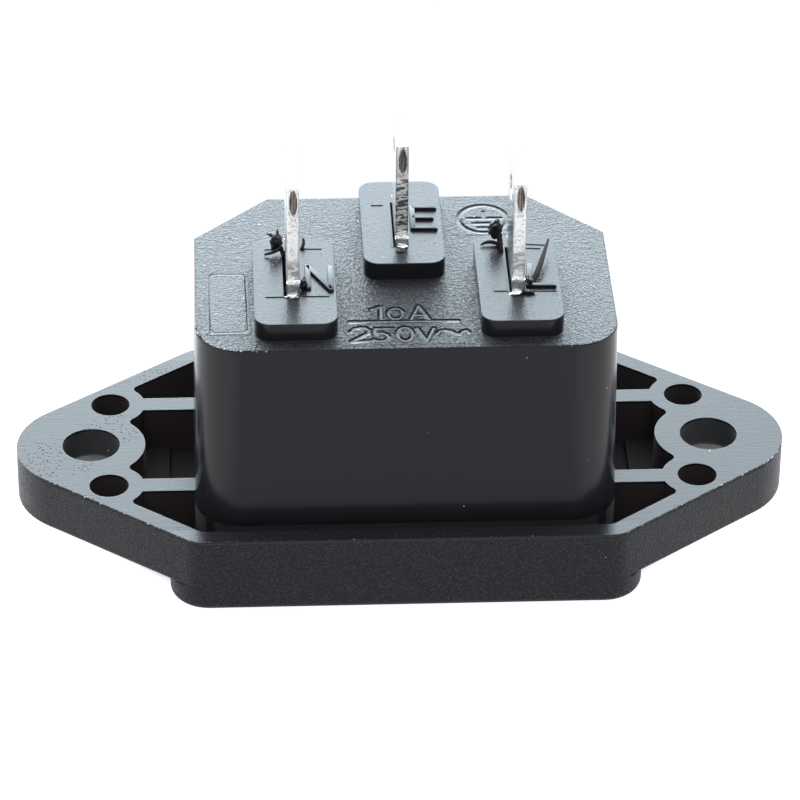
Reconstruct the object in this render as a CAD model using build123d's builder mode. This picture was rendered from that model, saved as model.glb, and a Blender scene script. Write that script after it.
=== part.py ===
"""Panel inlet socket, type C14: one moulded housing and three plated contacts.

Millimetres. X runs along the two mounting ears, Y across the socket with the earth side at +Y, and
+Z points from the mating face to the terminals. The origin is the middle of the mating face, on
which the socket lies.
"""
from build123d import *
import os

os.makedirs("parts", exist_ok=True)

# Mating recess, which the rest is built round
recess_length = 24.4
recess_depth = 16.3
recess_chamfer = 4.2
recess_corner_radius = 1.85
recess_floor = 1.9
recess_mouth_chamfer = 0.5

# Shroud body: walls round the recess, behind the flange
end_wall = 1.15
side_wall = 1.15
body_height = 12.8
body_draft = 1.1
body_edge_radius = 0.1
body_shift_y = 0.1

# Flange: a rim that runs past the body, and an ear at each end
hole_pitch = 40.0
mount_hole_d = 3.7
countersink_d = 7.0
countersink_angle = 90
countersink_wall = 1.3
body_channel = 0.65
rim_wall = 1.2
straight_past_body = 0.05
flange_corner_radius = 2.0
ear_thickness = 3.7
front_edge_radius = 0.3

# Frame round the mouth of the recess, standing in front of the ears
frame_past_body = 1.65
frame_height = 1.6
frame_corner_radius = 2.5
frame_edge_radius = 0.5

# Pockets, ribs and coring holes in the rear of the flange
ear_pocket_depth = 3.0
frame_pocket_depth = 3.4
mount_boss_wall = 1.65
coring_hole_d = 2.5
coring_boss_wall = 1.0
coring_hole_inset = 1.2
coring_hole_pitch_y = 9.3
coring_hole_floor = 0.8
rib_thickness = 1.4
notch_radius = 0.4

# Contacts: pin, shoulder and tab in one piece
pin_pitch = 14.0
line_pin_y = -2.0
earth_pin_y = 2.0
pin_thickness = 2.0
pin_width = 4.0
pin_tip_chamfer = 0.6
line_pin_length = 12.0
earth_pin_length = 13.6
pin_root = 0.9
line_tab_y = -2.0
earth_tab_y = 3.7
tab_thickness = 0.8
tab_width = 4.8
line_tab_reach = 8.5
earth_tab_reach = 8.0
tab_tip_chamfer_y = 1.1
tab_tip_chamfer_z = 0.85
tab_bevel_x = 0.18
tab_bevel_z = 1.0
tab_hole_d = 1.6
tab_hole_from_tip = 2.4
shoulder_step = 0.3
line_shoulder_height = 0.95
earth_shoulder_height = 0.6
contact_clearance = 0.05
slot_play = 0.15

# Pads round the tabs on the rear face
pad_margin_x = 2.175
pad_margin_y = 2.35
pad_height = 1.2
pad_corner_radius = 1.0
pad_edge_radius = 0.06
pad_shift_x = 0.12
line_pad_shift = -0.85
earth_pad_shift = 0.35

# Sizes that follow from those
body_length = recess_length + 2 * end_wall
body_depth = recess_depth + 2 * side_wall
body_chamfer = recess_chamfer + (2 - 2 ** 0.5) * side_wall
body_corner_radius = recess_corner_radius + side_wall
flange_depth = body_depth + 2 * (body_channel + rim_wall)
flange_straight = body_length + 2 * straight_past_body
ear_end_radius = countersink_d / 2 + countersink_wall
frame_length = body_length + 2 * frame_past_body
mount_boss_radius = mount_hole_d / 2 + mount_boss_wall
coring_boss_radius = coring_hole_d / 2 + coring_boss_wall
coring_hole_pitch_x = hole_pitch - 2 * coring_hole_inset
shoulder_width = tab_width + 2 * shoulder_step
pad_length = tab_thickness + 2 * pad_margin_x
pad_depth = shoulder_width + 2 * pad_margin_y
line_pad_y = line_tab_y + line_pad_shift
earth_pad_y = earth_tab_y + earth_pad_shift

# Levels above the mating face
flange_rear = frame_height + ear_thickness
body_rear = flange_rear + body_height
pad_top = body_rear + pad_height
recess_top = body_rear - recess_floor
root_top = recess_top + pin_root

# Places of the contacts
line_x = pin_pitch / 2
neutral_x = -line_x
earth_x = 0.0
mount_places = ((-hole_pitch / 2, 0), (hole_pitch / 2, 0))


def cut_corner_outline(length, depth, chamfer_size, corner_radius):
    """Rectangle with both corners on the earth side cut off and the other two rounded."""
    with BuildSketch() as outline:
        with Locations((0, body_shift_y)):
            Rectangle(length, depth)
        chamfer(outline.vertices().group_by(Axis.Y)[-1], length=chamfer_size)
        fillet(outline.vertices().group_by(Axis.Y)[0], radius=corner_radius)
    return outline.sketch


def make_contact(label, place_x, pin_y, pin_length, tab_y, tab_reach, shoulder_height):
    """Solid pin for the mating connector, with a thin shoulder and push-on tab at its rear."""
    with BuildPart() as contact:
        # Pin, from the recess up into the housing's floor, with a tapered tip
        with BuildSketch(Plane.XY.offset(root_top)):
            with Locations((place_x, pin_y)):
                Rectangle(pin_thickness, pin_width)
        extrude(amount=-(pin_root + pin_length))
        chamfer(contact.faces().sort_by(Axis.Z)[0].edges(), length=pin_tip_chamfer)
        # Shoulder through the floor and the pad
        shoulder_top = pad_top + shoulder_height
        with BuildSketch(Plane.XY.offset(root_top)):
            with Locations((place_x, tab_y)):
                Rectangle(tab_thickness, shoulder_width)
        extrude(amount=shoulder_top - root_top)
        # Tab, with its corners cut at the tip
        tab_tip = pad_top + tab_reach
        with BuildSketch(Plane.YZ.offset(place_x)):
            with BuildLine():
                half_width = tab_width / 2
                half_tip = half_width - tab_tip_chamfer_y
                Polyline(
                    (tab_y - half_width, shoulder_top),
                    (tab_y - half_width, tab_tip - tab_tip_chamfer_z),
                    (tab_y - half_tip, tab_tip),
                    (tab_y + half_tip, tab_tip),
                    (tab_y + half_width, tab_tip - tab_tip_chamfer_z),
                    (tab_y + half_width, shoulder_top),
                    close=True,
                )
            make_face()
            with Locations((tab_y, tab_tip - tab_hole_from_tip)):
                Circle(tab_hole_d / 2, mode=Mode.SUBTRACT)
        extrude(amount=tab_thickness / 2, both=True)
        # Lead-in bevels on both flat sides of the tip
        tip_face = contact.faces().sort_by(Axis.Z)[-1]
        chamfer(tip_face.edges().filter_by(Axis.Y), length=tab_bevel_x, length2=tab_bevel_z,
                reference=tip_face)
    contact.part.label = label
    return contact


neutral_contact = make_contact("neutral_contact", neutral_x, line_pin_y, line_pin_length,
                               line_tab_y, line_tab_reach, line_shoulder_height)
line_contact = make_contact("line_contact", line_x, line_pin_y, line_pin_length,
                            line_tab_y, line_tab_reach, line_shoulder_height)
earth_contact = make_contact("earth_contact", earth_x, earth_pin_y, earth_pin_length,
                             earth_tab_y, earth_tab_reach, earth_shoulder_height)

# Outline of the flange: a circle round each mounting hole joined to the straight sides by tangents
with BuildSketch() as flange_outline:
    with Locations(*mount_places):
        Circle(ear_end_radius)
    Rectangle(flange_straight, flange_depth)
    make_hull()
    straight_ends = flange_outline.vertices().filter_by(lambda v: abs(v.Y) > flange_depth / 2 - rim_wall)
    fillet(straight_ends, radius=flange_corner_radius)

body_outline = cut_corner_outline(body_length, body_depth, body_chamfer, body_corner_radius)

# Pockets: what the rim, the bosses, the ribs and the body leave free
with BuildSketch() as pocket_outline:
    add(flange_outline.sketch)
    offset(amount=-rim_wall, kind=Kind.INTERSECTION, mode=Mode.REPLACE)
    Rectangle(coring_hole_pitch_x, flange_depth, mode=Mode.INTERSECT)
    with Locations(*mount_places):
        Circle(mount_boss_radius, mode=Mode.SUBTRACT)
    with GridLocations(coring_hole_pitch_x, coring_hole_pitch_y, 2, 2):
        Circle(coring_boss_radius, mode=Mode.SUBTRACT)
    with GridLocations(0, coring_hole_pitch_y, 1, 2):
        Rectangle(hole_pitch, rib_thickness, mode=Mode.SUBTRACT)
    add(body_outline, mode=Mode.SUBTRACT)
    notch_start = coring_hole_pitch_x / 2 - coring_boss_radius + notch_radius
    notches = pocket_outline.vertices().filter_by(lambda v: abs(v.X) > notch_start)
    fillet(notches, radius=notch_radius)

with BuildSketch() as frame_pocket_outline:
    add(pocket_outline.sketch)
    Rectangle(frame_length, flange_depth, mode=Mode.INTERSECT)

recess_outline = cut_corner_outline(recess_length, recess_depth, recess_chamfer, recess_corner_radius)

with BuildPart() as housing:
    # Ears, one plate
    with BuildSketch(Plane.XY.offset(frame_height)):
        add(flange_outline.sketch)
    extrude(amount=ear_thickness)
    fillet(housing.faces().sort_by(Axis.Z)[0].edges(), radius=front_edge_radius)
    # Frame in front of them, flush with their long sides, with its front edge rounded
    with BuildSketch(Plane.XY.offset(flange_rear)):
        RectangleRounded(frame_length, flange_depth, frame_corner_radius)
    extrude(amount=-flange_rear)
    fillet(housing.faces().sort_by(Axis.Z)[0].edges(), radius=frame_edge_radius)
    # Pockets from the rear, deeper behind the frame
    with BuildSketch(Plane.XY.offset(flange_rear)):
        add(pocket_outline.sketch)
    extrude(amount=-ear_pocket_depth, mode=Mode.SUBTRACT)
    with BuildSketch(Plane.XY.offset(flange_rear)):
        add(frame_pocket_outline.sketch)
    extrude(amount=-frame_pocket_depth, mode=Mode.SUBTRACT)
    # Shroud body, tapering towards its rear face
    with BuildSketch(Plane.XY.offset(flange_rear)):
        add(body_outline)
    extrude(amount=body_height, taper=body_draft)
    fillet(housing.faces().sort_by(Axis.Z)[-1].edges(), radius=body_edge_radius)
    # Pads round the terminals
    with BuildSketch(Plane.XY.offset(body_rear - body_edge_radius)):
        with Locations((neutral_x + pad_shift_x, line_pad_y), (line_x + pad_shift_x, line_pad_y),
                       (earth_x + pad_shift_x, earth_pad_y)):
            RectangleRounded(pad_length, pad_depth, pad_corner_radius)
    extrude(amount=pad_height + body_edge_radius)
    pad_faces = housing.faces().filter_by(Axis.Z).group_by(Axis.Z)[-1]
    fillet(pad_faces.edges(), radius=pad_edge_radius)
    # Mating recess, open at the front
    with BuildSketch():
        add(recess_outline)
    extrude(amount=recess_top, mode=Mode.SUBTRACT)
    mouth = housing.faces().sort_by(Axis.Z)[0].inner_wires()[0].edges()
    chamfer(mouth, length=recess_mouth_chamfer)
    # Mounting holes, countersunk from the front
    with Locations(Plane.XY.offset(frame_height).rotated((180, 0, 0))):
        with Locations(*mount_places):
            CounterSinkHole(mount_hole_d / 2, countersink_d / 2, counter_sink_angle=countersink_angle)
    # Blind coring holes from the rear
    with BuildSketch(Plane.XY.offset(flange_rear)):
        with GridLocations(coring_hole_pitch_x, coring_hole_pitch_y, 2, 2):
            Circle(coring_hole_d / 2)
    extrude(amount=-(ear_thickness - coring_hole_floor), mode=Mode.SUBTRACT)
    # Seats of the contacts: a pocket for each pin's root and a slot for each shoulder
    for place_x, pin_y, tab_y in ((neutral_x, line_pin_y, line_tab_y), (line_x, line_pin_y, line_tab_y),
                                  (earth_x, earth_pin_y, earth_tab_y)):
        with BuildSketch(Plane.XY.offset(root_top)):
            with Locations((place_x, pin_y)):
                Rectangle(pin_thickness + 2 * contact_clearance, pin_width + 2 * contact_clearance)
        extrude(amount=-(pin_root + contact_clearance), mode=Mode.SUBTRACT)
        with BuildSketch(Plane.XY.offset(root_top)):
            with Locations((place_x - slot_play / 2, tab_y)):
                Rectangle(tab_thickness + slot_play + 2 * contact_clearance,
                          shoulder_width + 2 * contact_clearance)
        extrude(amount=pad_top - root_top, mode=Mode.SUBTRACT)
housing.part.label = "housing"

for piece in (housing, neutral_contact, line_contact, earth_contact):
    export_step(piece.part, f"parts/{piece.part.label}.step")
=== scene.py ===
# %% [markdown]
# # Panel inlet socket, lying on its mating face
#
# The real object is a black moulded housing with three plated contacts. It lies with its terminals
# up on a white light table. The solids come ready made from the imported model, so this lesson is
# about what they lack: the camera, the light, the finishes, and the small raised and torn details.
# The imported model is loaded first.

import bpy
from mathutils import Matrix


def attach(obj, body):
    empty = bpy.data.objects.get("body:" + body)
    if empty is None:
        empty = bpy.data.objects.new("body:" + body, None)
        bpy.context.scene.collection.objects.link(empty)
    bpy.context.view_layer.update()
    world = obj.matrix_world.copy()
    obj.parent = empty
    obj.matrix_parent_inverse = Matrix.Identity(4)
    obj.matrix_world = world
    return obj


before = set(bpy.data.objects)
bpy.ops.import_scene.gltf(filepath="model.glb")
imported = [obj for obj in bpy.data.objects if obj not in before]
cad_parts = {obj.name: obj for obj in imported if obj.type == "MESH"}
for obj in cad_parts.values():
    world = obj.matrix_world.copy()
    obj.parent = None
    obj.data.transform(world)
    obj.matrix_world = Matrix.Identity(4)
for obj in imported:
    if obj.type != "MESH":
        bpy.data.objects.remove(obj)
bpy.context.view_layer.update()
print("nodes", sorted(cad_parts))

# %% [markdown]
# ## Units and one source of chance
#
# Blender works in metres and this socket is 50 mm long, so every length here is written in
# millimetres and turned into metres once, when a mesh is finished. Torn edges need some chance. A
# seeded generator gives the same "random" numbers on every run.

# %% Units
import math
import random

import bmesh
import bpy
from mathutils import Euler, Matrix, Vector, noise

MM = 0.001
BODY_REAR = 18.1
PAD_TOP = 19.3
FLANGE_REAR = 5.3

# %% [markdown]
# ## Camera
#
# A camera can be placed by eye, or worked out from points whose real places are known. Here the
# hole spacing and the outline were measured, and a fit gave the angles, the distance and the lens.
# The long lens keeps the two ears nearly parallel, as a product photographer would.

# %% Camera
SENSOR_WIDTH = 36.0


def add_camera(lens, distance, azimuth, elevation, roll, target):
    """Camera on a circle round the target, in mm and degrees. Azimuth 0 looks along +Y."""
    a, e, r = (math.radians(angle) for angle in (azimuth, elevation, roll))
    back = Vector((math.sin(a) * math.cos(e), -math.cos(a) * math.cos(e), math.sin(e)))
    right = Vector((math.cos(a), math.sin(a), 0.0))
    up = back.cross(right)
    turned_right = math.cos(r) * right + math.sin(r) * up
    turned_up = -math.sin(r) * right + math.cos(r) * up
    turn = Matrix((turned_right, turned_up, back)).transposed()
    data = bpy.data.cameras.new("camera")
    data.lens = lens
    data.sensor_width = SENSOR_WIDTH
    data.clip_start = 0.01
    data.clip_end = 50.0
    camera = bpy.data.objects.new("camera", data)
    bpy.context.scene.collection.objects.link(camera)
    camera.matrix_world = Matrix.Translation((Vector(target) + back * distance) * MM) @ turn.to_4x4()
    bpy.context.scene.camera = camera
    return camera


camera = add_camera(lens=199.57, distance=285.48, azimuth=-2.942, elevation=33.535, roll=0.571,
                    target=(-0.065, 0.0, 8.354))
print("camera at", [round(c / MM, 1) for c in camera.location])

# %% [markdown]
# ## Shader maths as plain formulas
#
# A finish is a tree of nodes. Wiring each Math node by hand hides the idea, so one class wraps an
# output socket and lets Python's own signs add the nodes. A second class is one finish: every other
# node comes from its one method, which sets the node's settings before its inputs.


# %% Node helpers
class Value:
    """An output of a shader node. The signs + - * / between two of them add Math nodes."""

    def __init__(self, finish, socket):
        self.finish = finish
        self.socket = socket

    def maths(self, operation, first, second=0.0):
        kind = "ShaderNodeVectorMath" if self.socket.type == "VECTOR" else "ShaderNodeMath"
        return self.finish.node(kind, {"operation": operation}, {0: first, 1: second})

    def __add__(self, other):
        return self.maths("ADD", self, other)

    def __radd__(self, other):
        return self.maths("ADD", other, self)

    def __sub__(self, other):
        return self.maths("SUBTRACT", self, other)

    def __rsub__(self, other):
        return self.maths("SUBTRACT", other, self)

    def __mul__(self, other):
        return self.maths("MULTIPLY", self, other)

    def __rmul__(self, other):
        return self.maths("MULTIPLY", other, self)

    def __truediv__(self, other):
        return self.maths("DIVIDE", self, other)

    def __abs__(self):
        return self.maths("ABSOLUTE", self)

    def most(self, other):
        return self.maths("MAXIMUM", self, other)

    def output(self, name):
        return Value(self.finish, self.socket.node.outputs[name])

    def parts(self):
        """The three numbers of a vector."""
        split = self.finish.node("ShaderNodeSeparateXYZ", values={0: self})
        return [split.output(axis) for axis in "XYZ"]


class Finish:
    """One material. Lengths inside it are millimetres."""

    def __init__(self, name):
        self.material = bpy.data.materials.new(name)
        self.material.use_nodes = True
        self.tree = self.material.node_tree
        self.tree.nodes.clear()
        coordinates = self.node("ShaderNodeTexCoord")
        self.place = self.node("ShaderNodeMapping", values={
            "Vector": coordinates.output("Object"), "Scale": (1 / MM, 1 / MM, 1 / MM)})
        self.normal = coordinates.output("Normal")

    def node(self, kind, settings=None, values=None, output=0):
        """Adds a node: its settings first, then its inputs as numbers or as links."""
        node = self.tree.nodes.new(kind)
        for name, setting in (settings or {}).items():
            setattr(node, name, setting)
        for key, value in (values or {}).items():
            socket = node.inputs[key]
            if isinstance(value, Value):
                self.tree.links.new(value.socket, socket)
            elif socket.type == "VECTOR" and not isinstance(value, tuple):
                socket.default_value = (value,) * 3
            elif socket.type == "RGBA":
                socket.default_value = (*value, 1.0)
            else:
                socket.default_value = value
        return Value(self, node.outputs[output])

    def rise(self, value, low, high):
        """0 below low, 1 above high, smooth between."""
        return self.node("ShaderNodeMapRange", {"interpolation_type": "SMOOTHSTEP"},
                         {"Value": value, "From Min": low, "From Max": high})

    def between(self, value, low, high, soft):
        """1 between low and high, 0 outside."""
        return self.rise(value, low - soft, low + soft) * (1 - self.rise(value, high - soft, high + soft))

    def stretched(self, scale, turn=(0.0, 0.0, 0.0)):
        """Place, scaled by axis, for a pattern that runs one way."""
        return self.node("ShaderNodeMapping", values={"Vector": self.place, "Rotation": turn,
                                                      "Scale": scale})

    def noise(self, scale, detail=2.0, roughness=0.5, distortion=0.0, vector=None):
        """Cloudy pattern from 0 to 1. scale is in features per mm."""
        return self.node("ShaderNodeTexNoise", values={
            "Vector": vector or self.place, "Scale": scale, "Detail": detail,
            "Roughness": roughness, "Distortion": distortion})

    def cells(self, scale):
        """Distance to scattered points. scale is in points per mm."""
        return self.node("ShaderNodeTexVoronoi", values={"Vector": self.place, "Scale": scale})

    def blend(self, amount, first, second):
        """A colour between two colours."""
        return self.node("ShaderNodeMix", {"data_type": "RGBA"}, {0: amount, 6: first, 7: second},
                         output=2)

    def away(self, centre, low, high):
        """0 near a place in mm, 1 away from it."""
        distance = self.node("ShaderNodeVectorMath", {"operation": "DISTANCE"},
                             {0: self.place, 1: centre}, output="Value")
        return self.rise(distance, low, high)

    def painted(self, name):
        """A number stored at the points of the mesh."""
        return self.node("ShaderNodeAttribute", {"attribute_name": name}, output="Fac")

    def bump(self, height, rounding):
        """Normal from a height in mm, over edges rounded by so many mm."""
        rounded = self.node("ShaderNodeBevel", {"samples": 4}, {"Radius": rounding * MM})
        return self.node("ShaderNodeBump", values={
            "Strength": 1.0, "Distance": MM, "Height": height, "Normal": rounded})

    def surface(self, **values):
        """Ends the finish in one Principled shader. Inputs are written with _ for a space."""
        shader = self.node("ShaderNodeBsdfPrincipled", values={
            name.replace("_", " "): value for name, value in values.items()})
        self.node_output(shader)
        return self.material

    def node_output(self, shader):
        end = self.tree.nodes.new("ShaderNodeOutputMaterial")
        self.tree.links.new(shader.socket, end.inputs["Surface"])


print("helpers ready")

# %% [markdown]
# ## Light table and soft light
#
# The photograph has a pure white ground without a shadow: a light table, lit from below. What makes
# black plastic readable is what it mirrors. Its rear faces mirror a bright sheet behind the socket,
# its front walls mirror the table, and the rest is dimmer. Glowing sheets give exactly that, and
# unlike lamps they show in reflections with an even brightness. Two weaker sheets, above and in
# front, light the hollows and the walls of grooves.

# %% Stage
REAR_LIGHT = 11.5
TOP_LIGHT = 4.5
FRONT_LIGHT = 1.2
WORLD_LIGHT = 0.42
TABLE_GAP = 0.02


def make_glow(name, strength, pattern):
    """Finish that only glows. pattern turns the finish into the glow's colour."""
    f = Finish(name)
    return f.surface(Base_Color=(0.0, 0.0, 0.0), Roughness=1.0, Specular_IOR_Level=0.0,
                     Emission_Color=pattern(f), Emission_Strength=strength)


def table_pattern(f):
    """White, brighter beyond the ears than in front of the socket, dim in the shade under it."""
    x, y, z = f.place.parts()
    open_table = f.blend(f.rise(abs(x), 12.0, 22.0), (1.0, 1.01, 1.10), (1.6, 1.6, 1.66))
    under_ear = f.rise(abs(x) * 0.62 + abs(y) * 0.78, 13.9, 16.1).most(f.rise(abs(x), 21.8, 24.0))
    return f.blend(under_ear.most(f.rise(abs(y), 9.4, 10.6)), (0.035, 0.035, 0.036), open_table)


def rear_pattern(f):
    """Cool white, brightest behind the middle and weakest to the right."""
    x = f.place.parts()[0]
    middle = f.rise(x, -45.0, 0.0) * 0.22 + 0.78 - f.rise(x, 5.0, 78.0) * 0.33
    return f.blend(middle, (0.0, 0.0, 0.0), (0.86, 1.0, 1.09))


def plain_pattern(f):
    return (0.96, 1.0, 1.03)


def add_sheet(name, width, depth, centre, direction, glow):
    """Glowing sheet, in mm, that faces along direction. It belongs to the stage."""
    bm = bmesh.new()
    bmesh.ops.create_grid(bm, x_segments=1, y_segments=1, size=0.5)
    turn = Vector(direction).to_track_quat("Z", "Y").to_matrix().to_4x4()
    bmesh.ops.transform(bm, verts=bm.verts, matrix=Matrix.Translation(Vector(centre) * MM) @ turn
                        @ Matrix.Diagonal((width * MM, depth * MM, 1.0, 1.0)))
    mesh = bpy.data.meshes.new(name)
    bm.to_mesh(mesh)
    bm.free()
    mesh.materials.append(glow)
    sheet = bpy.data.objects.new(name, mesh)
    bpy.context.scene.collection.objects.link(sheet)
    return sheet


def toward(azimuth, elevation, distance):
    """Point at a distance from the socket. Azimuth 0 is behind it, on the earth side."""
    a, e = math.radians(azimuth), math.radians(elevation)
    return Vector((math.sin(a) * math.cos(e), math.cos(a) * math.cos(e), math.sin(e))) * distance


add_sheet("light_table", 3000, 3000, (0, 0, -TABLE_GAP), (0, 0, 1),
          make_glow("table_glow", 1.0, table_pattern))
rear_place = toward(0, 30, 520)
add_sheet("rear_sheet", 1500, 620, rear_place, -rear_place,
          make_glow("rear_glow", REAR_LIGHT, rear_pattern))
add_sheet("top_sheet", 900, 520, (0, 30, 560), (0, 0, -1),
          make_glow("top_glow", TOP_LIGHT, plain_pattern))
add_sheet("front_sheet", 900, 420, (0, -440, 500), (0, 0.7, -0.7),
          make_glow("front_glow", FRONT_LIGHT, plain_pattern))

world = bpy.data.worlds.new("studio")
world.use_nodes = True
world.node_tree.nodes["Background"].inputs["Color"].default_value = (0.92, 0.96, 1.0, 1.0)
world.node_tree.nodes["Background"].inputs["Strength"].default_value = WORLD_LIGHT
bpy.context.scene.world = world
bpy.context.scene.view_settings.view_transform = "Standard"
print("rear sheet at", [round(c) for c in rear_place])

# %% [markdown]
# ## Black plastic
#
# One moulding, several surfaces. The mould was spark-eroded round the flange, which leaves a fine
# matte grain, and coarser on the rear face of the body. The pads, the ears and the body's walls
# came off smoother steel. Height and direction of a surface tell them apart, so one finish covers
# the whole node: masks choose, and a height in millimetres becomes the bump. Light that bounces
# about in the pockets and coring holes turns brownish, and that light is painted onto their walls
# as a lighter brown; the mounting holes get painted light too, brightest low down. The floors of
# the hollows get painted shade, and the grain round the flange gets painted glints. A wall is taken
# for a hollow's when it lies well inside the outline that its direction belongs to.

# %% Housing finish
BLACK = (0.0118, 0.0118, 0.0140)
PAINTED_HOLLOW_LIGHT = (0.031, 0.022, 0.023)
PAINTED_FLOOR_SHADE = (0.010, 0.009, 0.009)
PLASTIC_IOR = 1.31
CUT_DEPTH = 0.28


def make_plastic(name, engraved=False):
    """Black moulding: grain on the body's rear face and round the flange, smoother elsewhere."""
    f = Finish(name)
    x, y, z = f.place.parts()
    nx, ny, nz = f.normal.parts()
    up = f.rise(nz, 0.55, 0.8)
    side = 1 - f.rise(abs(nz), 0.35, 0.6)
    body_rear = up * f.between(z, 17.7, 18.6, 0.15)
    pad = up * f.rise(z, 18.9, 19.1)
    ear = up * f.between(z, 5.1, 5.5, 0.05)
    low = 1 - f.rise(z, 5.05, 5.2)
    wall = side * f.rise(z, 5.3, 5.4)
    outline = (abs(nx) * 20.0 + 4.8).most(abs(nx) * 13.4 + abs(ny) * 11.15)
    inward = (1 - f.rise(nx * x + ny * y - outline, -0.9, -0.5)) * f.rise(z, 1.5, 1.7)
    recess = (1 - f.rise(abs(x), 12.6, 12.8)) * (1 - f.rise(abs(y), 8.5, 8.7)) * low
    flange_side = side * low * (1 - inward) * (1 - recess)
    hidden = recess.most(1 - f.rise(nz, -0.8, -0.5))

    from_hole = (abs(x) - 20.0) * (abs(x) - 20.0) + y * y
    hole = low * side * (1 - f.rise(from_hole, 4.2, 4.6))
    lit_hole = hole * (1 - f.rise(z, 2.9, 3.5))

    wrinkle = f.noise(4.2, detail=3.0, roughness=0.55, distortion=0.9)
    fine = f.noise(11.0, detail=2.0, roughness=0.6)
    soft = f.noise(1.2, detail=2.0)
    skin = f.noise(5.0, detail=2.0, roughness=0.6)
    drawn = f.noise(1.0, detail=3.0, vector=f.stretched((0.8, 7.0, 1.0), (0.0, 0.0, 0.3)))
    pit_zone = f.rise(f.noise(0.2, detail=1.0), 0.5, 0.62).most(1 - f.away((-22.3, -1.8, 5.3), 1.8, 3.4))
    pits = (1 - f.rise(f.cells(4.2), 0.12, 0.32)) * pit_zone * (1 - f.rise(x, 8.0, 10.0) * 0.8)
    specks = 1 - f.rise(f.cells(2.6), 0.06, 0.14)
    spark = f.noise(8.0, detail=2.0, roughness=0.7)

    crease = 1 - f.rise(abs(wrinkle - 0.5), 0.0, 0.06)
    grain = wrinkle * 0.25 + fine * 0.035 - crease * 0.018
    if engraved:
        cut = f.painted("cut")
        grain = grain * (1 - f.painted("smooth") * 0.75) - cut * CUT_DEPTH
    height = (body_rear * grain
              + pad * (skin * 0.014 + fine * 0.016 - specks * 0.02)
              + ear * (drawn * 0.013 + fine * 0.009 - pits * 0.03)
              + flange_side * spark * 0.6
              + wall * (soft * 0.005 + fine * 0.0008))
    roughness = (0.19 * body_rear + 0.23 * pad + 0.32 * ear + 0.36 * flange_side + 0.20 * wall
                 + pits * ear * 0.5 + specks * pad * 0.3 + crease * body_rear * 0.1
                 - ear * f.rise(abs(y), 9.7, 9.9) * 0.2
                 + low * (1 - flange_side) * (1 - hidden * 0.6) + (fine - 0.5) * 0.06)
    dust_cell = f.cells(0.8)
    dust = (1 - f.rise(dust_cell, 0.03, 0.05)) * f.rise(dust_cell.output("Color").parts()[0], 0.82, 0.83)
    # Painted light: hollow walls lifted to a lighter brown, mounting holes to grey, brightest low in the
    # hole.
    walls = f.blend(low * side * inward * (1 - recess), BLACK, PAINTED_HOLLOW_LIGHT)
    walls = f.blend(hole, walls, (0.040, 0.040, 0.042))
    walls = f.blend(lit_hole, walls, (0.19, 0.195, 0.2))
    # Painted shade: the floors of the hollows are coloured darker than the plastic.
    black = f.blend(up * low, walls, PAINTED_FLOOR_SHADE)
    # Painted glints: pale grey on the peaks of the spark-eroded grain round the flange.
    black = f.blend(flange_side * f.rise(spark, 0.48, 0.66), black, (0.052, 0.053, 0.056))
    colour = f.blend(dust, black, (0.40, 0.40, 0.40))
    return f.surface(Base_Color=colour, Roughness=roughness.most(0.1), IOR=PLASTIC_IOR,
                     Normal=f.bump(height, 0.06))


plastic = make_plastic("black_moulding")
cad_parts["housing"].data.materials[0] = plastic
print("housing finish has", len(plastic.node_tree.nodes), "nodes")

# %% [markdown]
# ## Tin plating
#
# The contacts are punched from brass strip and plated. Flat sides stay bright, with rolling lines
# along them. The narrow punched edges are torn: pits, and ripples low down, where the punch
# chattered. The shade in the pits, between the ripples and in grooves along the edges is painted
# on as a dark colour. Near each tip a lens of bare brass shows where the contact was cut from its
# strip after plating; its colour is bare brass darkened by a painted dark reflection. The lens is
# dished, and a bright lip runs round it.

# %% Contact finish


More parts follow.
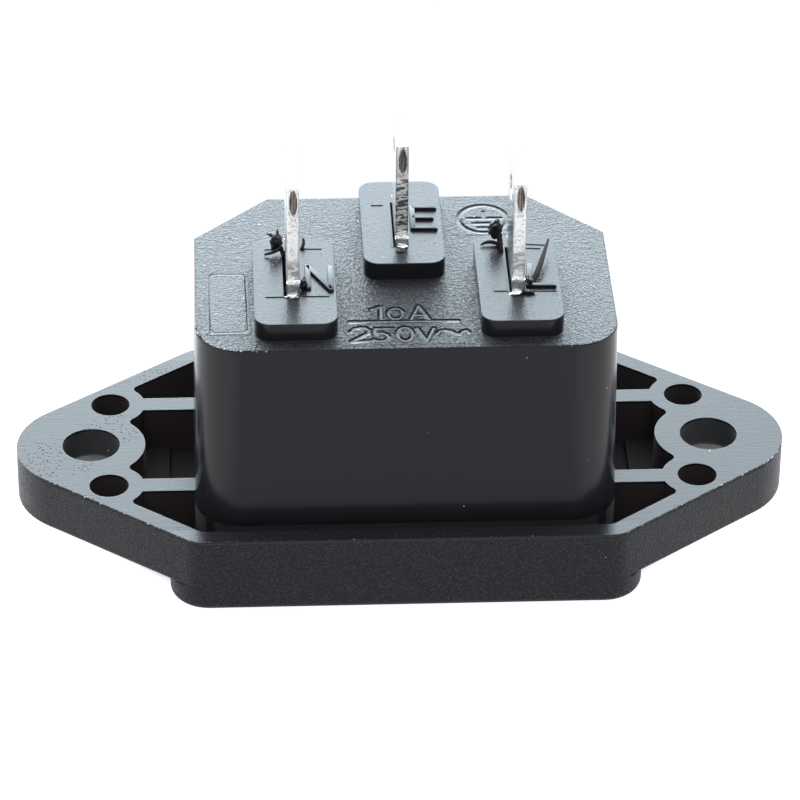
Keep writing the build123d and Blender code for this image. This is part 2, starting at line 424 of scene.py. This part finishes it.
def make_plating(name, tab_x, lens_low, lens_high, ripple_low, ripple_high, torn):
    """Plated brass of one contact, with the cut-off mark on the edge that faces -Y."""
    f = Finish(name)
    x, y, z = f.place.parts()
    nx, ny, nz = f.normal.parts()
    edge = f.rise(abs(ny), 0.6, 0.8)
    front = f.rise(0 - ny, 0.6, 0.8)
    flat = f.rise(abs(nx), 0.5, 0.7)

    rolled = f.noise(1.0, detail=3.0, vector=f.stretched((3.0, 14.0, 0.9)))
    brushed = f.noise(1.0, detail=2.0, vector=f.stretched((18.0, 16.0, 0.7)))
    speckle = f.noise(7.0, detail=3.0, roughness=0.65)
    pits = f.rise(speckle, 0.56, 0.63)
    dents = f.noise(1.4, detail=1.0)

    middle = (lens_low + lens_high) / 2
    reach = (lens_high - lens_low) / 2
    across = (x - (tab_x + 0.04)) / 0.25
    along = (z - middle) / reach
    radius = across * across + along * along + (speckle - 0.5) * 1.6
    lens = front * (1 - f.rise(radius, 0.8, 1.1))
    lip = front * f.between(radius, 1.05, 1.8, 0.2)

    ripple_zone = edge * f.between(z, ripple_low, ripple_high, 0.45)
    bands = f.noise(1.0, detail=3.0, roughness=0.6, vector=f.stretched((1.6, 1.0, 5.5), (0.0, 0.25, 0.0)))
    creases = f.rise(bands, 0.49, 0.55)
    shoulder = edge * (1 - f.rise(z, 20.15, 20.3)) * f.rise(z, 19.1, 19.2)
    border = edge * f.rise(abs(x - tab_x), 0.29, 0.37)

    height = (flat * (rolled * 0.004 + dents * 0.008)
              + edge * (brushed * 0.006 - pits * 0.03)
              + ripple_zone * creases * 0.09 + shoulder * brushed * 0.03
              - border * 0.03 - lens * 0.03 + lip * 0.02)
    roughness = (0.17 + 0.08 * edge + 0.12 * pits * edge + 0.08 * rolled + 0.15 * lens
                 + 0.10 * ripple_zone)
    # Painted shade: darker in the pits, in the troughs between the ripples and in the grooves along the
    # edge's borders.
    painted_shade = (edge * pits * 0.4).most(ripple_zone * (1 - creases) * torn).most(border * brushed * 0.8)
    tin = f.blend(painted_shade, (0.85, 0.85, 0.83), (0.10, 0.096, 0.090))
    # Bare brass of the lens, darkened by a painted dark reflection of its dished face.
    brass_and_painted_reflection = f.blend(f.rise(brushed, 0.45, 0.62), (0.060, 0.046, 0.040), (0.30, 0.27, 0.25))
    colour = f.blend(lens, tin, brass_and_painted_reflection)
    return f.surface(Base_Color=colour, Metallic=1.0, Roughness=roughness,
                     Normal=f.bump(height, 0.05))


# torn sets how much painted shade falls between the ripples of each contact.
CONTACTS = {
    "neutral_contact": dict(tab_x=-7.0, lens_low=24.95, lens_high=26.75, ripple_low=20.4, ripple_high=21.6,
                            torn=0.5),
    "line_contact": dict(tab_x=7.0, lens_low=25.0, lens_high=26.8, ripple_low=20.4, ripple_high=22.2,
                         torn=0.55),
    "earth_contact": dict(tab_x=0.0, lens_low=24.45, lens_high=26.25, ripple_low=20.1, ripple_high=24.2,
                          torn=0.95),
}
for node_name, marks in CONTACTS.items():
    finish = make_plating(node_name + "_plating", **marks)
    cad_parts[node_name].data.materials[0] = finish
    print(node_name, "finish has", len(finish.node_tree.nodes), "nodes")

# %% [markdown]
# ## Raised marks
#
# The terminal letters stand about 0.2 mm proud of the plastic, with steep walls, flat tops and round
# ends, because the mould maker cut them with a small milling cutter. Blender's text would give
# printed letters. A flat curve with a ridge as its bevel profile follows the cutter's own path,
# stroke by stroke, and its points' radius rounds the ends.

# %% Ridges
MARK_WIDTH = 0.36
MARK_HEIGHT = 0.21


def ridge_profile(width, height):
    """Closed profile of a ridge, as a curve: steep walls and a nearly flat top."""
    edge = min(0.05, height / 2)
    side = [(width / 2, -0.08), (width / 2, height - edge), (width / 2 - edge * 0.3, height - edge * 0.3),
            (width / 2 - edge, height)]
    corners = [(-x, z) for x, z in side] + side[::-1]
    data = bpy.data.curves.new("profile", "CURVE")
    spline = data.splines.new("POLY")
    spline.points.add(len(corners) - 1)
    for point, (across, up) in zip(spline.points, corners):
        point.co = (across, up, 0.0, 1.0)
    spline.use_cyclic_u = True
    return bpy.data.objects.new("profile", data)


def rounded_path(points, half):
    """Path with its ends run out by half a width, and the radius there falling to a point."""
    path = [Vector((*point, 0.0)) for point in points]
    samples = [(point, 1.0) for point in path]
    for end, inner, front in ((path[0], path[1], True), (path[-1], path[-2], False)):
        out = (end - inner).normalized() * half
        cap = [(end + out * t, math.sqrt(max(0.0, 1 - t * t))) for t in (0.5, 0.8, 0.97)]
        samples = cap[::-1] + samples if front else samples + cap
    return samples


def arc(centre, radii, start, end, steps):
    """Points along an arc of an ellipse, in degrees."""
    angles = [math.radians(start + (end - start) * i / steps) for i in range(steps + 1)]
    return [(centre[0] + radii[0] * math.cos(a), centre[1] + radii[1] * math.sin(a)) for a in angles]


def finish_piece(name, mesh, material, smooth_angle=35.0):
    """Links a mesh in metres as a piece that rides on the root body."""
    mesh.materials.clear()
    mesh.materials.append(material)
    bm = bmesh.new()
    bm.from_mesh(mesh)
    bmesh.ops.remove_doubles(bm, verts=bm.verts, dist=1e-7)
    bmesh.ops.recalc_face_normals(bm, faces=bm.faces)
    for face in bm.faces:
        face.smooth = True
    for edge in bm.edges:
        edge.smooth = edge.is_manifold and edge.calc_face_angle(0.0) < math.radians(smooth_angle)
    bm.to_mesh(mesh)
    bm.free()
    piece = bpy.data.objects.new(name, mesh)
    bpy.context.scene.collection.objects.link(piece)
    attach(piece, "root")
    return piece


def add_ridges(name, strokes, level, width=MARK_WIDTH, height=MARK_HEIGHT):
    """Raised strokes on a level surface. Strokes are lists of points in mm."""
    profile = ridge_profile(width, height)
    data = bpy.data.curves.new(name, "CURVE")
    data.dimensions = "2D"
    data.fill_mode = "NONE"
    data.bevel_mode = "OBJECT"
    data.bevel_object = profile
    data.use_fill_caps = True
    for points in strokes:
        samples = rounded_path(points, width / 2)
        spline = data.splines.new("POLY")
        spline.points.add(len(samples) - 1)
        for point, (place, radius) in zip(spline.points, samples):
            point.co = (*place, 1.0)
            point.radius = radius
    curve = bpy.data.objects.new(name, data)
    bpy.context.scene.collection.objects.link(curve)
    bpy.context.view_layer.update()
    mesh = bpy.data.meshes.new_from_object(curve.evaluated_get(bpy.context.evaluated_depsgraph_get()))
    bpy.data.objects.remove(curve)
    bpy.data.objects.remove(profile)
    mesh.transform(Matrix.Scale(MM, 4) @ Matrix.Translation((0.0, 0.0, level)))
    return finish_piece(name, mesh, mark_plastic, smooth_angle=20)


def make_mark_plastic(name):
    """The same black plastic, smoother, for what stands proud of it."""
    f = Finish(name)
    fine = f.noise(8.0, detail=2.0)
    return f.surface(Base_Color=BLACK, Roughness=0.24 + fine * 0.1, IOR=PLASTIC_IOR,
                     Normal=f.bump(fine * 0.005, 0.03))


mark_plastic = make_mark_plastic("smooth_black")

# %% [markdown]
# ## Terminal letters
#
# N, L and E beside the tabs tell the fitter which wire goes where. They are generic, so they stay.
# Each is a few straight strokes.

# %% Letters
LETTERS = {
    "letter_e": [[(0.84, 5.60), (0.81, 3.09)], [(0.86, 5.60), (2.26, 5.55)],
                 [(0.83, 4.36), (2.03, 4.32)], [(0.80, 3.09), (2.22, 3.04)]],
    "letter_n": [[(-6.05, -1.29), (-6.04, -3.82)], [(-6.04, -1.32), (-4.63, -4.09)],
                 [(-4.62, -1.46), (-4.63, -4.07)]],
    "letter_l": [[(7.90, -1.62), (7.69, -3.91)], [(7.68, -3.95), (9.26, -4.01)]],
}
for name, strokes in LETTERS.items():
    letter = add_ridges(name, strokes, PAD_TOP)
    print(name, len(letter.data.polygons), "faces")

# %% [markdown]
# ## Engraved marks
#
# The sign for protective earth, the rating and the outline of an insert at the left are sunk into
# the rear face. The solid can stay as it is: a plate a few thousandths proud of it carries the same
# black finish, and a number painted on its points says how deep each point is cut. The finish turns
# that number into a bump. The number comes from the distance to the nearest stroke. The far wall of
# a cut leans more than the near one, which shows as a dark line above a thin bright one.

# %% Strokes and engraved plates
SYMBOL = [[(5.55, 7.08), (5.53, 6.28)], [(4.53, 6.30), (6.59, 6.29)], [(4.84, 5.68), (6.10, 5.68)],
          [(5.14, 5.13), (5.71, 5.12)], arc((5.47, 6.22), (1.56, 1.68), 0, 360, 40)]
RATING = [
    [(-3.51, -5.82), (3.16, -5.87)],
    [(-2.13, -4.41), (-1.56, -4.13)], [(-1.55, -4.13), (-1.58, -5.50)],
    arc((-0.65, -4.93), (0.45, 0.61), 0, 360, 24),
    [(0.82, -4.10), (0.30, -5.63)], [(0.82, -4.10), (1.42, -5.67)], [(0.54, -5.13), (1.10, -5.15)],
    [(-3.48, -6.93), (-3.28, -6.59), (-2.92, -6.47), (-2.58, -6.54), (-2.38, -6.79), (-2.43, -7.11),
     (-2.84, -7.46), (-3.46, -8.05)],
    [(-3.47, -8.08), (-2.21, -8.01)],
    [(-1.97, -6.64), (-0.89, -6.64)], [(-1.99, -6.64), (-2.04, -7.25)],
    [(-2.04, -7.28), (-1.84, -7.15), (-1.56, -7.14), (-1.30, -7.31), (-1.20, -7.59), (-1.29, -7.88),
     (-1.56, -8.04), (-1.93, -8.02), (-2.14, -7.85)],
    arc((-0.16, -7.30), (0.46, 0.77), 0, 360, 28),
    [(0.60, -6.66), (1.14, -8.12)], [(1.14, -8.12), (1.65, -6.69)],
    [(1.82, -7.34), (2.01, -7.03), (2.32, -6.93), (2.69, -7.07), (2.98, -7.35), (3.23, -7.39),
     (3.45, -7.09), (3.65, -6.99), (3.77, -7.22)],
]
FIELD = [arc((-9.90 - 0.40, -0.43), (0.40, 0.40), 90, 0, 5) + arc((-10.26, -6.42), (0.40, 0.40), 0, -90, 5)
         + arc((-11.75, -6.42), (0.40, 0.40), -90, -180, 5) + arc((-11.80, -0.40), (0.40, 0.40), 180, 90, 5)
         + [(-10.30, -0.03)]]
PLATE_PROUD = 0.004
PLATE_SKIRT = 0.03
FIELD_MARGIN = 0.25
PLATES = {
    "rating_plate": dict(low=(-3.95, -8.50), high=(4.10, -3.80), step=0.042, strokes=RATING, width=0.31),
    "symbol_plate": dict(low=(3.70, 4.30), high=(7.25, 8.15), step=0.042, strokes=SYMBOL, width=0.28),
    "field_plate": dict(low=(-12.45, -7.05), high=(-9.70, 0.20), step=0.042, strokes=FIELD, width=0.09,
                        soft=0.09, lean=0.02, depth=0.45, inside=True),
}


def stroke_distance(place, segments):
    """Distance in mm from a point to the nearest segment, and how far it lies on the rear side of it."""
    best, rear = 9.0, 0.0
    for start, run, length in segments:
        offset = place - start - run * max(0.0, min(length, (place - start).dot(run)))
        if offset.length < best:
            best = offset.length
            rear = offset.y / max(best, 0.001)
    return best, rear


def add_plate(name, low, high, step, strokes, width, soft=0.17, lean=0.09, depth=1.0, inside=False):
    """Thin plate on the rear face, with the cut of its strokes painted on its points."""
    segments = []
    for points in strokes:
        for start, end in zip(points, points[1:]):
            run = Vector(end) - Vector(start)
            if run.length > 0.001:
                segments.append((Vector(start), run.normalized(), run.length))
    span = (high[0] - low[0], high[1] - low[1])
    bm = bmesh.new()
    cut_layer = bm.verts.layers.float.new("cut")
    smooth_layer = bm.verts.layers.float.new("smooth")
    bmesh.ops.create_grid(bm, x_segments=round(span[0] / step), y_segments=round(span[1] / step), size=0.5)
    middle = Vector(((low[0] + high[0]) / 2, (low[1] + high[1]) / 2, BODY_REAR + PLATE_PROUD))
    bmesh.ops.transform(bm, verts=bm.verts, matrix=Matrix.Translation(middle)
                        @ Matrix.Diagonal((span[0], span[1], 1.0, 1.0)))
    for vertex in bm.verts:
        away, rear = stroke_distance(vertex.co.xy, segments)
        wall = soft + lean * rear
        t = max(0.0, min(1.0, (width / 2 + soft / 2 - away) / wall))
        vertex[cut_layer] = depth * t * t * (3 - 2 * t)
        in_field = all(low[i] + FIELD_MARGIN < vertex.co[i] < high[i] - FIELD_MARGIN for i in (0, 1))
        vertex[smooth_layer] = max(vertex[cut_layer], 0.65 if inside and in_field else 0.0)
    rim = [e for e in bm.edges if e.is_boundary]
    skirt = bmesh.ops.extrude_edge_only(bm, edges=rim)
    bmesh.ops.translate(bm, verts=[v for v in skirt["geom"] if isinstance(v, bmesh.types.BMVert)],
                        vec=(0.0, 0.0, -PLATE_SKIRT))
    bmesh.ops.contextual_create(bm, geom=[e for e in bm.edges if e.is_boundary])
    bmesh.ops.transform(bm, verts=bm.verts, matrix=Matrix.Scale(MM, 4))
    mesh = bpy.data.meshes.new(name)
    bm.to_mesh(mesh)
    bm.free()
    return finish_piece(name, mesh, engraved_plastic)


engraved_plastic = make_plastic("engraved_moulding", engraved=True)
for name, sizes in PLATES.items():
    plate = add_plate(name, **sizes)
    print(name, len(plate.data.polygons), "faces")

# %% [markdown]
# ## Witness lines
#
# Inserts round each contact left hairlines on the pads, called witness lines. They are very small
# ridges. Thin lips of plastic also narrow two of the slots beside the tabs.

# %% Lines
WITNESS_LINES = [
    [(-8.70, -4.70), (-7.60, -4.71)], [(-6.40, -4.67), (-4.79, -4.71)],
    [(-8.64, 0.92), (-8.20, 0.94)], [(-6.30, 0.96), (-5.11, 0.90)],
    [(5.50, -4.43), (6.36, -4.46)], [(7.73, 1.10), (9.01, 0.94)], [(7.71, 0.60), (8.72, 0.52)],
    [(7.80, -4.50), (9.38, -4.55)], [(-1.72, 6.12), (-1.02, 6.12)],
]
lines = add_ridges("witness_lines", WITNESS_LINES, PAD_TOP, width=0.09, height=0.05)
print("witness lines", len(WITNESS_LINES))
lips = add_ridges("slot_lips", [[(-0.60, 1.0), (-0.60, 6.35)], [(6.40, -4.55), (6.40, 0.75)]], PAD_TOP,
                  width=0.17, height=0.02)

# %% [markdown]
# ## Torn plastic at the contacts
#
# Pressing the contacts in shaved the plastic. Small black crumbs sit at the slots, one tall curl
# leans away from the line tab. A crumb is a ball pushed in and out by noise. A curl is a curve
# whose radius swells and runs to a point.

# %% Crumbs and curls
# Each crumb: centre, half sizes, turn about Z in degrees, seed. Millimetres.
CRUMBS = {
    "crumb_neutral_rear": ((-7.95, 0.6, 20.1), (0.46, 0.36, 0.58), 20, 3),
    "crumb_neutral_front": ((-6.35, -3.75, 19.65), (0.28, 0.45, 0.45), -15, 8),
    "crumb_line_rear": ((5.85, 1.05, 20.45), (0.62, 0.42, 0.75), 30, 5),
    "crumb_line_strand": ((6.2, 0.75, 19.75), (0.22, 0.22, 0.65), 10, 41),
    "crumb_line_side": ((7.72, -3.6, 19.55), (0.22, 0.75, 0.42), 8, 13),
    "crumb_line_front": ((7.65, -4.75, 19.42), (0.55, 0.22, 0.18), 4, 21),
    "crumb_earth_front": ((-0.1, 0.62, 19.36), (0.32, 0.30, 0.10), 0, 34),
}


def add_crumb(name, centre, sizes, turn, seed, material=None, tear=0.45):
    """Rough lump: a ball displaced by noise, then squeezed to its sizes."""
    bm = bmesh.new()
    bmesh.ops.create_icosphere(bm, subdivisions=4, radius=1.0)
    shift = Vector((seed * 3.1, seed * 1.7, seed * 0.9))
    for vertex in bm.verts:
        rough = noise.noise(vertex.co * 1.4 + shift) + 0.45 * noise.noise(vertex.co * 3.6 + shift)
        vertex.co *= 1.0 - tear / 2 + tear * rough
    place = Matrix.Translation(centre) @ Euler((0.0, 0.0, math.radians(turn))).to_matrix().to_4x4()
    bmesh.ops.transform(bm, verts=bm.verts, matrix=Matrix.Scale(MM, 4) @ place
                        @ Matrix.Diagonal((*sizes, 1.0)))
    mesh = bpy.data.meshes.new(name)
    bm.to_mesh(mesh)
    bm.free()
    return finish_piece(name, mesh, material or mark_plastic, smooth_angle=50)


def add_curl(name, points, widest, material):
    """Shaving that tapers to both ends, along points in mm."""
    data = bpy.data.curves.new(name, "CURVE")
    data.dimensions = "3D"
    data.bevel_depth = widest / 2
    data.bevel_resolution = 2
    data.use_fill_caps = True
    spline = data.splines.new("NURBS")
    spline.points.add(len(points) - 1)
    for i, (point, place) in enumerate(zip(spline.points, points)):
        point.co = (*place, 1.0)
        point.radius = 0.12 + 0.88 * math.sin(math.pi * ((i + 0.6) / (len(points) + 0.2)) ** 0.7)
    spline.order_u = 3
    spline.use_endpoint_u = True
    curve = bpy.data.objects.new(name, data)
    bpy.context.scene.collection.objects.link(curve)
    bpy.context.view_layer.update()
    mesh = bpy.data.meshes.new_from_object(curve.evaluated_get(bpy.context.evaluated_depsgraph_get()))
    bpy.data.objects.remove(curve)
    mesh.transform(Matrix.Scale(MM, 4))
    return finish_piece(name, mesh, material, smooth_angle=60)


def make_shaving(name):
    """Thin torn plastic, brownish where light gets into it."""
    f = Finish(name)
    streak = f.noise(3.0, detail=3.0)
    colour = f.blend(streak, (0.014, 0.011, 0.011), (0.034, 0.026, 0.024))
    return f.surface(Base_Color=colour, Roughness=0.45 + streak * 0.1, Specular_IOR_Level=0.03,
                     Normal=f.bump(streak * 0.01, 0.02))


shaving = make_shaving("torn_plastic")
for name, (centre, sizes, turn, seed) in CRUMBS.items():
    add_crumb(name, centre, sizes, turn, seed)
TALL_CURL = 0.42
SMALL_CURL = 0.28
CURLS = {
    "curl_line_tall": [(7.74, -3.9, 19.35), (8.05, -3.5, 19.5), (8.45, -2.5, 19.75), (8.8, -1.2, 19.95),
                       (9.2, 0.2, 20.15)],
    "curl_line_rear": [(6.3, 0.2, 19.35), (6.2, 0.6, 19.8), (6.05, 0.95, 20.2), (5.75, 1.1, 20.5)],
    "curl_line_low": [(6.3, 0.9, 19.33), (5.9, 1.05, 19.5), (5.3, 1.1, 19.52), (5.0, 0.9, 19.4)],
    "curl_neutral_rear": [(-7.55, 0.1, 19.35), (-7.7, 0.5, 19.9), (-8.05, 0.8, 20.4), (-8.5, 0.7, 20.6)],
    "curl_neutral_top": [(-7.5, 0.3, 19.4), (-7.9, 0.75, 20.1), (-7.85, 0.9, 20.75)],
    "curl_neutral_low": [(-7.55, 0.3, 19.9), (-8.0, 0.1, 19.6), (-8.7, 0.15, 19.42)],
    "curl_neutral_hook": [(-6.35, 0.9, 19.33), (-6.1, 1.25, 19.6), (-6.25, 1.4, 19.8)],
}
for name, points in CURLS.items():
    add_curl(name, points, TALL_CURL if name == "curl_line_tall" else SMALL_CURL, shaving)
print("crumbs", len(CRUMBS), "curls", len(CURLS))

# %% [markdown]
# ## Torn metal at the shoulders
#
# Each shoulder scraped along its slot, which left bright burrs above and below it. They are crumbs
# too, smaller and sharper, with the plating's own finish but no marks of a punch.

# %% Burrs
BURRS = {
    "burr_neutral_low": ((-7.0, -4.78, 19.36), (0.48, 0.16, 0.14), 0, 4),
    "burr_neutral_top": ((-6.78, -4.62, 20.3), (0.2, 0.14, 0.16), 10, 9),
    "burr_line_low": ((6.85, -4.8, 19.36), (0.55, 0.18, 0.14), 5, 14),
    "burr_line_top": ((6.9, -4.62, 20.3), (0.3, 0.14, 0.13), -8, 19),
    "burr_earth_low": ((0.02, 0.92, 19.38), (0.42, 0.16, 0.15), 0, 24),
    "burr_earth_top": ((0.0, 1.08, 19.98), (0.36, 0.14, 0.16), 0, 29),
}


def make_torn_metal(name):
    """Bright torn metal."""
    f = Finish(name)
    rough = f.noise(5.0, detail=3.0)
    return f.surface(Base_Color=f.blend(rough, (0.9, 0.9, 0.89), (0.7, 0.69, 0.67)), Metallic=1.0,
                     Roughness=0.2 + rough * 0.15, Normal=f.bump(rough * 0.03, 0.02))


torn_metal = make_torn_metal("torn_metal")
for name, (centre, sizes, turn, seed) in BURRS.items():
    add_crumb(name, centre, sizes, turn, seed, torn_metal, tear=0.8)
print("burrs", len(BURRS))

# %% [markdown]
# ## Worn and ragged edges
#
# The thin edge left where two halves of the mould met breaks into crumbs. They line the near edges of
# the flange and two corners of the body as pale and dark specks; the pale colour is a painted glint.
# Each is a little twisted ball with few faces, and all of one edge are one mesh. Chance sets their
# places and sizes along a path.

# %% Flakes along the edges
EDGES = {
    "flange_edge_flakes": dict(
        level=FLANGE_REAR, per_mm=5.5, largest=0.075, seed=3,
        path=arc((-20.0, 0.0), (4.8, 4.8), 195, 232, 6) + [(-13.6, -11.05)]),
    "rim_edge_flakes": dict(
        level=FLANGE_REAR, per_mm=2.6, largest=0.05, seed=7, path=[(-13.5, -11.09), (13.5, -11.09)]),
    "right_edge_flakes": dict(
        level=FLANGE_REAR, per_mm=6.5, largest=0.085, seed=11,
        path=[(13.6, -11.05)] + arc((20.0, 0.0), (4.8, 4.8), 308, 350, 6)),
    "body_left_flakes": dict(
        level=BODY_REAR, per_mm=7.0, largest=0.12, seed=17,
        path=arc((-10.1, -5.95), (3.0, 3.0), 170, 270, 8) + [(-8.6, -8.95)]),
    "body_right_flakes": dict(
        level=BODY_REAR, per_mm=5.0, largest=0.08, seed=23,
        path=[(9.3, -8.95)] + arc((10.1, -5.95), (3.0, 3.0), 270, 365, 8)),
}


def add_flakes(name, path, level, per_mm, largest, seed):
    """Tiny torn bits scattered along a path of points at one level, in mm."""
    chance = random.Random(seed)
    bm = bmesh.new()
    for start, end in zip(path, path[1:]):
        run = Vector(end) - Vector(start)
        for i in range(round(run.length * per_mm)):
            place = Vector(start) + run * chance.random()
            size = largest * (0.3 + 0.7 * chance.random() ** 2)
            turn = Euler([chance.uniform(-3.1, 3.1) for axis in range(3)]).to_matrix().to_4x4()
            shape = Matrix.Diagonal((size, size * chance.uniform(0.4, 0.8),
                                     size * chance.uniform(0.3, 0.7), 1.0))
            middle = Matrix.Translation((place.x, place.y, level + chance.uniform(-0.6, 0.35) * size))
            ball = bmesh.ops.create_icosphere(bm, subdivisions=1, radius=1.0, matrix=middle @ turn @ shape)
            for vertex in ball["verts"]:
                vertex.co += Vector([chance.uniform(-0.25, 0.25) * size for axis in range(3)])
    bmesh.ops.transform(bm, verts=bm.verts, matrix=Matrix.Scale(MM, 4))
    mesh = bpy.data.meshes.new(name)
    bm.to_mesh(mesh)
    bm.free()
    return finish_piece(name, mesh, flake_plastic, smooth_angle=10)


def make_flake_plastic(name):
    """Torn plastic: some bits stay black, some are painted pale as glints."""
    f = Finish(name)
    glint_noise = f.noise(4.0, detail=1.0)
    # Pale bits are painted glints; the rest stay black.
    colour = f.blend(f.rise(glint_noise, 0.46, 0.54), (0.015, 0.015, 0.016), (0.42, 0.43, 0.45))
    return f.surface(Base_Color=colour, Roughness=0.35 + glint_noise * 0.2, IOR=PLASTIC_IOR,
                     Normal=f.bump(glint_noise * 0.005, 0.005))


flake_plastic = make_flake_plastic("flake_plastic")
for name, edge in EDGES.items():
    flakes = add_flakes(name, **edge)
    print(name, len(flakes.data.polygons), "faces")
